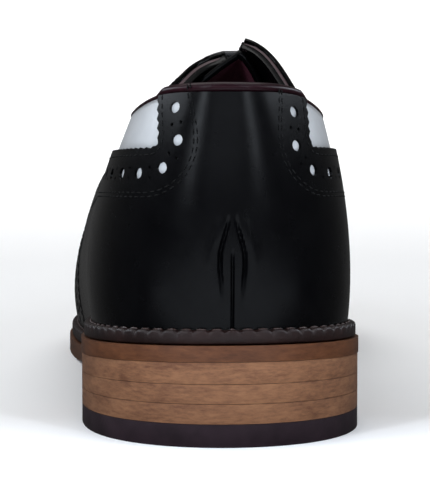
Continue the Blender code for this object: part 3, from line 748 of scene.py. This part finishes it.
def addFacing(side, name, node):
    pSteps = np.linspace(facingSet["back"], facingFront, facingSet["steps"])
    share = np.sin(np.clip(np.linspace(0, 1, facingSet["steps"]) / facingSet["widening"], 0, 1) * math.pi / 2)
    width = facingSet["width"] * (facingSet["backShare"] + (1 - facingSet["backShare"]) * share)
    ends = downFrom(side, pSteps, topClimb(side, pSteps), facingSet["edge"])
    starts = downFrom(side, pSteps, ends, width)
    low = np.stack([pSteps, starts], -1)
    front = lineTo((pSteps[-1], starts[-1]), (pSteps[-1], ends[-1]), 20)
    edge = eased(side, np.concatenate([low, front[1:]]), facingSet["corner"])
    inward = side
    teeth = gimped(side, edge, inward, facingSet["gimpShare"])
    holes = broguing(side, low[facingSet["wideFrom"] : -10], inward, facingSet["margin"], facingSet["inset"])
    for inset, first in ((punchSet["stitchInsets"][0], 4), (facingSet["innerRow"], facingSet["wideFrom"])):
        seams.append((side, beside(side, low[first:-6], inward * inset), facingSet["lift"]))
    for y in facingSet["eyeletsAt"]:
        _, p, t = onLast(ridgeX(y) + side * facingSet["offset"], y)
        holes.append((side, ringOn(side, np.array([p, t]), facingSet["eyelet"], facingSet["eyeletSides"])))
    top = np.stack([pSteps, ends], -1)[::-1]
    loop = joined(signed(side, np.concatenate([teeth[:-1], top]), "heel"))
    cuts = side * np.arange(*facingSet["columns"]) * patternScale[0], np.arange(*facingSet["rows"]) * patternScale[1]
    overlay(name, node, loop, holes, "heel", cuts, facingSet)


liningSet = dict(backGap=0.002, steps=90, rows=9, reach=14, backShare=0.3, widening=0.12, wall=0.3, behind=0.15,
                       brink=0.4, fold=0.12, halfEdge=0.45, top=0.2, lacingFrom=0.93)


def addFacingLining(side, name):  # black leather inside the throat, turned over the edge
    steps, rows = liningSet["steps"], liningSet["rows"]
    pSteps = np.linspace(facingSet["back"] + liningSet["backGap"], facingFront, steps + 1)
    share = np.clip(np.linspace(0, 1, steps + 1) / liningSet["widening"], liningSet["backShare"], 1)
    ends = topClimb(side, pSteps)
    brink = downFrom(side, pSteps, ends, liningSet["brink"])
    starts = downFrom(side, pSteps, ends, liningSet["reach"] * share)
    mesh = bmesh.new()

    def place(u, v):
        i, row = np.round(u * steps).astype(int), np.round(v * rows)
        lacing = ends[i] > liningSet["lacingFrom"]  # the whole edge is covered there, elsewhere half of it
        over = np.where(lacing, liningSet["fold"], -upperSet["wall"] * liningSet["halfEdge"])
        top = np.where(lacing & (row == rows), brink[i], ends[i])
        climb = starts[i] + (top - starts[i]) * np.minimum(row / (rows - 2), 1)
        inside = -upperSet["wall"] - liningSet["behind"]
        points = lifted(side, pSteps[i], climb, np.where(row >= rows - 1, over, inside))
        raised = (row == rows - 2) | ((row > rows - 2) & ~lacing)
        points[:, 2] += np.where(raised, liningSet["top"], 0)
        return points

    layGrid(mesh, steps, rows, place)
    faceOut(mesh)
    piece = addPiece(name, toMesh(name, mesh, 60), [blackCalf])
    addWall(piece, liningSet["wall"], even=False)


addFacing(outer, "facingOuter", "eyestay_lateral")
addFacing(inner, "facingInner", "eyestay_medial")
addFacingLining(outer, "facingLiningOuter")
addFacingLining(inner, "facingLiningInner")
print("facings cut")

# tongue under the facings
tongueSet = dict(top=125, end=206, half=23, roundShare=0.12, roundLeast=0.7, sink=0.9, turned=2.5, wall=1.8,
                 along=60, rows=20, settle=6)


def tongueHalf(mesh, side):
    steps = tongueSet["along"]
    pSteps = np.linspace(ridgeP(tongueSet["top"]), ridgeP(tongueSet["end"]), steps + 1)
    rounded = np.sqrt(np.clip(np.linspace(0, 1, steps + 1) / tongueSet["roundShare"], tongueSet["roundLeast"], 1))
    starts = downFrom(side, pSteps, np.ones(steps + 1), tongueSet["half"] * rounded)

    def place(u, v):
        i = np.round(u * steps).astype(int)
        points = lifted(side, pSteps[i], starts[i] + (1 - starts[i]) * v, -upperSet["wall"] - 2 * lasted["gap"])
        return points - np.array([0, 0, tongueSet["sink"]])

    layGrid(mesh, steps, tongueSet["rows"], place)


tongueMesh = bmesh.new()
for side in sides:
    tongueHalf(tongueMesh, side)
faceOut(tongueMesh)
for _ in range(tongueSet["settle"]):  # the crest settles into a soft arch
    bmesh.ops.smooth_vert(tongueMesh, verts=tongueMesh.verts, factor=0.5,
                          use_axis_x=True, use_axis_y=True, use_axis_z=True)
tongueTop = min(vert.co.y for vert in tongueMesh.verts)
for face in tongueMesh.faces:  # the turned edge is black behind as well
    face.material_index = 2 if face.calc_center_median().y < tongueTop + tongueSet["turned"] else 0
tongue = addPiece("tongueLeather", toMesh("tongueLeather", tongueMesh, 60),
                  [blackCalf, litTongueLining, blackCalf, blackCalf], ["tongue"])
addWall(tongue, tongueSet["wall"], 1, 0, False)


# cords: collar piping, lace
def addCord(name, lines, radius, paint, nodes, shares=None, facets=4):
    data = bpy.data.curves.new(name, "CURVE")
    data.dimensions = "3D"
    data.bevel_depth = radius * mm
    data.bevel_resolution = facets
    data.use_fill_caps = True
    for points in lines:
        spline = data.splines.new("POLY")
        spline.points.add(len(points) - 1)
        for i, (knot, point) in enumerate(zip(spline.points, inFrame(points))):
            knot.co = (*point, 1)
            knot.radius = 1 if shares is None else shares[i]
        spline.use_smooth = True
    addPiece(name, data, [paint], nodes)


# thick on the counter, thin on the white quarters
pipingSet = dict(radius=1.55, side=0.5, end=0.368, steps=90, sink=0.25, out=0.45, taper=0.02, taperLead=0.004, facets=5)
pipingP = np.linspace(0, pipingSet["end"], pipingSet["steps"])
rimHalves, rimShares = [], []
for side in sides:
    thinning = (pipingP - counterSet["rise"][side] + pipingSet["taperLead"]) / pipingSet["taper"]
    pipingShare = 1 - (1 - pipingSet["side"]) * np.clip(thinning, 0, 1)
    rimShares.append(pipingShare)
    rimLine = lifted(side, pipingP, topClimb(side, pipingP), -upperSet["wall"] / 2 + pipingSet["out"])
    rimLine[:, 2] += pipingSet["radius"] * pipingShare - pipingSet["sink"]
    rimHalves.append(rimLine)
collarLine, collarShares = (np.concatenate([h[0][::-1], h[1][1:]]) for h in (rimHalves, rimShares))
addCord("collarPiping", [collarLine], pipingSet["radius"], pipingCalf, ["collar_piping"], collarShares,
        pipingSet["facets"])

# the lace climbs out of an eyelet, lies flat over the throat and goes down again: share of the offset, height
laceSet = dict(radius=1.3, climb=((-1, -3.0), (-1, -0.5), (-0.99, 1.2), (-0.95, 2.2), (-0.86, 2.8), (-0.7, 3.1)),
               flat=(-0.45, -0.22, 0.22, 0.45), over=3.1)
laceStops = [*laceSet["climb"], *((share, laceSet["over"]) for share in laceSet["flat"]),
             *((-share, height) for share, height in laceSet["climb"][::-1])]
laceLines = []
for y in facingSet["eyeletsAt"]:
    bar = []
    for share, height in laceStops:
        s, p, t = onLast(ridgeX(y) + share * facingSet["offset"], y)
        bar.append(lifted(s, np.array(p), np.array(t), height))
    laceLines.append(np.array(bar))
addCord("laceBars", laceLines, laceSet["radius"], laceCotton, [f"lace_bar_{i}" for i in range(1, 6)])
print("tongue, piping and lace in place")


# rows of stitches
stitchSet = dict(pitch=2.5, half=0.95, width=0.25, height=0.14)


def sewBead(mesh, point, beam, out, run):  # one stitch, from its half width, height and length
    turn = Matrix((beam, out, run)).transposed().to_4x4()
    turn.translation = Vector(point)
    bmesh.ops.create_uvsphere(mesh, u_segments=6, v_segments=4, radius=1, matrix=turn)


def addStitches(name, rows, paint):
    sewn = bmesh.new()
    for side, path, lift in rows:
        mesh = bmesh.new()
        line, _ = evenly(side, path, stitchSet["pitch"])
        ends = lifted(side, *line.T, lift)
        spots = (line[1:] + line[:-1]) / 2
        points = lifted(side, *spots.T, lift)
        normals = turnsAt(side, *spots.T)[2]
        for point, normal, run in zip(points, normals, ends[1:] - ends[:-1]):
            run, out = Vector(run).normalized(), Vector(normal)
            beam = out.cross(run).normalized()
            sewBead(mesh, point, beam * stitchSet["width"], out * stitchSet["height"], run * stitchSet["half"])
        row = bpy.data.meshes.new("row")
        mesh.to_mesh(row)
        mesh.free()
        sewn.from_mesh(row)
        bpy.data.meshes.remove(row)
    settleFaces(sewn)
    addPiece(name, toMesh(name, sewn, allSmooth), [paint])


# white leather behind the large holes
backingMesh = bmesh.new()
backingRadius = punchSet["large"] + punchSet["backingRim"]
for side, spot in backings:
    point = lifted(side, *spot, counterSet["lift"] - punchSet["sunk"])
    normal = Vector(turnsAt(side, *spot)[2])
    place = Matrix.Translation(Vector(point)) @ normal.to_track_quat("Z", "Y").to_matrix().to_4x4()
    bmesh.ops.create_cone(backingMesh, cap_ends=True, segments=punchSet["largeSides"], radius1=backingRadius,
                          radius2=backingRadius, depth=punchSet["backingThick"], matrix=place)
settleFaces(backingMesh)
addPiece("punchBacking", toMesh("punchBacking", backingMesh), [whiteCalf])

addStitches("overlayStitches", seams, blackThread)
print("stitches sewn:", len(seams), "rows")


# sole: outsole, insole, lifts and top lift from plan grids
def plate(name, node, endP, inset, counts, bottom, top, bevel, paint):
    mesh = bmesh.new()

    def flat(u, v):
        first, second = edgeAt(outer, u * endP, inset)[0], edgeAt(inner, u * endP, inset)[0]
        plan = first + (second - first) * v[:, None]
        return np.concatenate([plan, bottom(plan[:, 1:])], -1)

    layGrid(mesh, *counts, flat)
    bmesh.ops.remove_doubles(mesh, verts=mesh.verts, dist=weldGap)
    settleFaces(mesh)
    for vert in bmesh.ops.extrude_face_region(mesh, geom=mesh.faces[:])["geom"]:
        if isinstance(vert, bmesh.types.BMVert):
            vert.co.z = float(top(np.array(vert.co.y)))
    settleFaces(mesh)
    edges = [e for e in mesh.edges if len(e.link_faces) == 2 and e.calc_face_angle(0) > math.radians(60)]
    bmesh.ops.bevel(mesh, geom=edges, offset=bevel, offset_type="OFFSET", segments=3, profile=0.5, affect="EDGES",
                    material=-1, clamp_overlap=True)
    addPiece(name, toMesh(name, mesh, 50), [paint], [node])


soleSet = dict(counts=(150, 8), bevel=0.7, insoleCounts=(110, 8), insoleBevel=0.4, insoleThick=3.0,
               liftCounts=(60, 6), liftBevel=0.3, liftInset=0.2, lifts=(6.4, 5.5, 5.4, 6.0), liftGap=0.12)


def insoleUnder(y):
    return soleTop(y) + lasted["gap"]


def insoleOver(y):
    return insoleUnder(y) + soleSet["insoleThick"]


def liftFace(level, gap=0.0):  # the lifts share the heel's pitch out between them
    return lambda y: level - lasted["heelPitch"] * y * level / lasted["heelStack"] - gap


plate("soleLeather", "outsole", 1, 0.0, soleSet["counts"], treadAt, soleTop, soleSet["bevel"], soleEdge)
insoleInset = lasted["weltWidth"] + upperSet["wall"] + 2 * lasted["gap"]
plate("sockLining", "insole", 1, insoleInset, soleSet["insoleCounts"], insoleUnder, insoleOver, soleSet["insoleBevel"],
      shadedLiningCalf)
breastP = math.acos(1 - 2 * lasted["breast"] / length) / math.pi
liftNames = [("topLift", "top_lift", heelRubber, "rubber")]
liftNames += [(f"heelLift{i}", f"heel_lift_{i}", liftLeather, "leather") for i in (3, 2, 1)]
level = 0.0
for (name, node, paint, slotName), thick in zip(liftNames, soleSet["lifts"]):
    plate(name, node, breastP, soleSet["liftInset"], soleSet["liftCounts"], liftFace(level),
          liftFace(level + thick, soleSet["liftGap"]), soleSet["liftBevel"], paint)
    level += thick
print("sole stacked")

# welt, marked by a wheel between its stitches; the profile is inset and height, with the share of each mark
weltSet = dict(
    around=1400, pitch=4.2, notch=0.5, stitchInset=2.7, stitchHalf=0.36, stitchWidth=0.4, stitchHeight=0.34,
    stitchLift=0.02, weld=0.005,
    profile=((4.25, 0.0), (1.1, 0.0), (0.8, 0.4), (0.8, 1.7), (0.8, 3.0), (0.95, 3.5), (1.35, 3.8), (2.6, 3.85),
             (4.25, 3.8), (4.25, 0.0)),
    mark=(0, 0, 0, 0, 0.5, 0.9, 1.0, 0.5, 0, 0),
)


def aroundPlan(u, inset):  # u goes up the outer edge and back along the inner one
    p = np.where(u < 0.5, 2 * u, 2 - 2 * u)
    first, second = (edgeAt(side, p, np.asarray(inset)[:, None])[0] for side in (outer, inner))
    return np.where((u < 0.5)[:, None], first, second)


aroundU = np.linspace(0, 1, 4001)
aroundRun = np.linalg.norm(np.diff(aroundPlan(aroundU, np.full(len(aroundU), weltSet["stitchInset"])), axis=0), axis=1)
aroundRun = np.concatenate([[0], aroundRun.cumsum()])
weltMarks = round(aroundRun[-1] / weltSet["pitch"])


def placeWelt(u, v):
    i = np.round(v * (len(weltSet["profile"]) - 1)).astype(int)
    inset, height = np.array(weltSet["profile"])[i].T
    share = np.interp(u, aroundU, aroundRun) / aroundRun[-1]
    notch = (0.5 - 0.5 * np.cos(2 * math.pi * share * weltMarks)) ** 3
    dent = notch * weltSet["notch"] * np.array(weltSet["mark"])[i]
    plan = aroundPlan(u, inset + 0.5 * dent)
    return np.concatenate([plan, (soleTop(plan[:, 1]) + lasted["gap"] + height - dent)[:, None]], -1)


weltMesh = bmesh.new()
layGrid(weltMesh, weltSet["around"], len(weltSet["profile"]) - 1, placeWelt)
bmesh.ops.remove_doubles(weltMesh, verts=weltMesh.verts, dist=weltSet["weld"])
settleFaces(weltMesh)
addPiece("weltStrip", toMesh("weltStrip", weltMesh, 70), [weltLeather], ["welt"])

stitchMesh = bmesh.new()
for k in range(weltMarks):
    at = (k + weltSet["stitchHalf"] * np.array([-1, 0, 1])) * aroundRun[-1] / weltMarks
    plan = aroundPlan(np.interp(at, aroundRun, aroundU), np.full(3, weltSet["stitchInset"]))
    spots = np.concatenate([plan, (weltTop(plan[:, 1]) + weltSet["stitchLift"])[:, None]], -1)
    run = Vector(spots[2] - spots[0])
    beam = Vector((0, 0, 1)).cross(run.normalized())
    sewBead(stitchMesh, spots[1], beam * weltSet["stitchWidth"], Vector((0, 0, weltSet["stitchHeight"])), run / 2)
settleFaces(stitchMesh)
addPiece("weltStitches", toMesh("weltStitches", stitchMesh, allSmooth), [weltThread])
print("welt laid:", weltMarks, "marks")

# floor sweep, lights and camera
stageSet = dict(floor=tone(250, 250, 250), near=-3.0, far=2.6, half=3.0, rise=2.2, curve=0.8)
floorMesh = bmesh.new()


def placeFloor(u, v):
    y = stageSet["near"] + (stageSet["far"] + stageSet["rise"] - stageSet["near"]) * v
    bend = np.clip((y - stageSet["far"]) / stageSet["curve"], 0, None)
    z = np.where(bend < 1, stageSet["curve"] * bend**2 / 2, stageSet["curve"] * (bend - 0.5))
    return np.stack([(u - 0.5) * 2 * stageSet["half"], np.minimum(y, stageSet["far"] + stageSet["curve"]), z], -1)


layGrid(floorMesh, 4, 60, placeFloor)
floorData = bpy.data.meshes.new("floorSweep")
floorMesh.to_mesh(floorData)
floorMesh.free()
for face in floorData.polygons:
    face.use_smooth = True
floorPaint, floorShader, _ = startMaterial("floorPaint", 0.6)
floorShader.inputs["Base Color"].default_value = stageSet["floor"]
floorSweep = bpy.data.objects.new("floorSweep", floorData)
floorData.materials.append(floorPaint)
bpy.context.scene.collection.objects.link(floorSweep)
floorSweep.visible_glossy = False  # keeps its glare off the polished sides


coolTint = (0.84, 0.91, 1.0)


def addLight(name, place, aim, size, power, tint=(1, 1, 1), glossOnly=False):
    data = bpy.data.lights.new(name, "AREA")
    data.shape = "RECTANGLE"
    data.size, data.size_y = size
    data.energy = power
    data.color = tint
    lamp = bpy.data.objects.new(name, data)
    lamp.location = place
    lamp.rotation_euler = (Vector(aim) - Vector(place)).to_track_quat("-Z", "Y").to_euler()
    lamp.visible_camera = False
    lamp.visible_diffuse = not glossOnly
    bpy.context.scene.collection.objects.link(lamp)


addLight("softLeft", (-1.02, -1.32, 0.85), (0, 0, 0.06), (0.20, 1.0), 12, coolTint)
addLight("softRight", (0.92, -1.38, 0.80), (0, 0, 0.06), (0.18, 0.9), 8, coolTint)
addLight("softFill", (0, -2.2, 0.9), (0, 0, 0.06), (1.7, 1.1), 10, coolTint)
addLight("softTop", (-0.1, 0.4, 1.3), (0, 0.4, 0), (0.9, 1.6), 15)
addLight("softFloor", (0, -0.2, 0.3), (0, -1.2, -0.05), (0.7, 0.12), 6, coolTint)
addLight("softLow", (0, -0.48, 0.003), (0, -0.48, 1), (0.5, 0.55), 1.8, coolTint)  # the lit floor, in the polish
addLight("softBack", (0, 1.2, 1.6), (0, 3.2, 0.5), (2.5, 1.0), 70)
for way, word in ((-1, "Left"), (1, "Right")):  # strips that draw a glint along the sides
    addLight(f"strip{word}", (0.95 * way, 0.1, 0.55), (0, 0.05, 0.05), (1.3, 0.2), 8, coolTint, True)
world = bpy.data.worlds.new("studio")
bpy.context.scene.world = world
world.use_nodes = True
world.node_tree.nodes["Background"].inputs["Color"].default_value = (1, 1, 1, 1)
world.node_tree.nodes["Background"].inputs["Strength"].default_value = 0.1

bpy.context.scene.view_settings.view_transform = "Standard"
# camera: millimetres on the last, and pixels of the picture for lens, aim and frame
cameraSet = dict(swing=4.5, back=788, height=130, heelY=38, lens=2825, aimX=-3.0, aimY=118.7, photo=1177,
                 frameHeight=494, sensor=24, reach=800)
swing = math.radians(cameraSet["swing"])
forward = np.array([math.sin(swing), math.cos(swing), 0])
sideways = np.array([math.cos(swing), -math.sin(swing), 0])
stand = np.array([0, cameraSet["heelY"], cameraSet["height"]]) - forward * cameraSet["back"]
ray = forward + sideways * cameraSet["aimX"] / cameraSet["photo"]
ray = ray - np.array([0, 0, cameraSet["aimY"] / cameraSet["photo"]])
eye, target = inFrame([stand, stand + ray * cameraSet["reach"]])
cameraData = bpy.data.cameras.new("camera")
cameraData.sensor_fit = "VERTICAL"
cameraData.sensor_height = cameraSet["sensor"]
cameraData.lens = cameraSet["sensor"] * cameraSet["lens"] / cameraSet["frameHeight"]
camera = bpy.data.objects.new("camera", cameraData)
camera.location = eye
camera.rotation_euler = Vector(target - eye).to_track_quat("-Z", "Y").to_euler()
bpy.context.scene.collection.objects.link(camera)
bpy.context.scene.camera = camera
print("stage, lights and camera set")
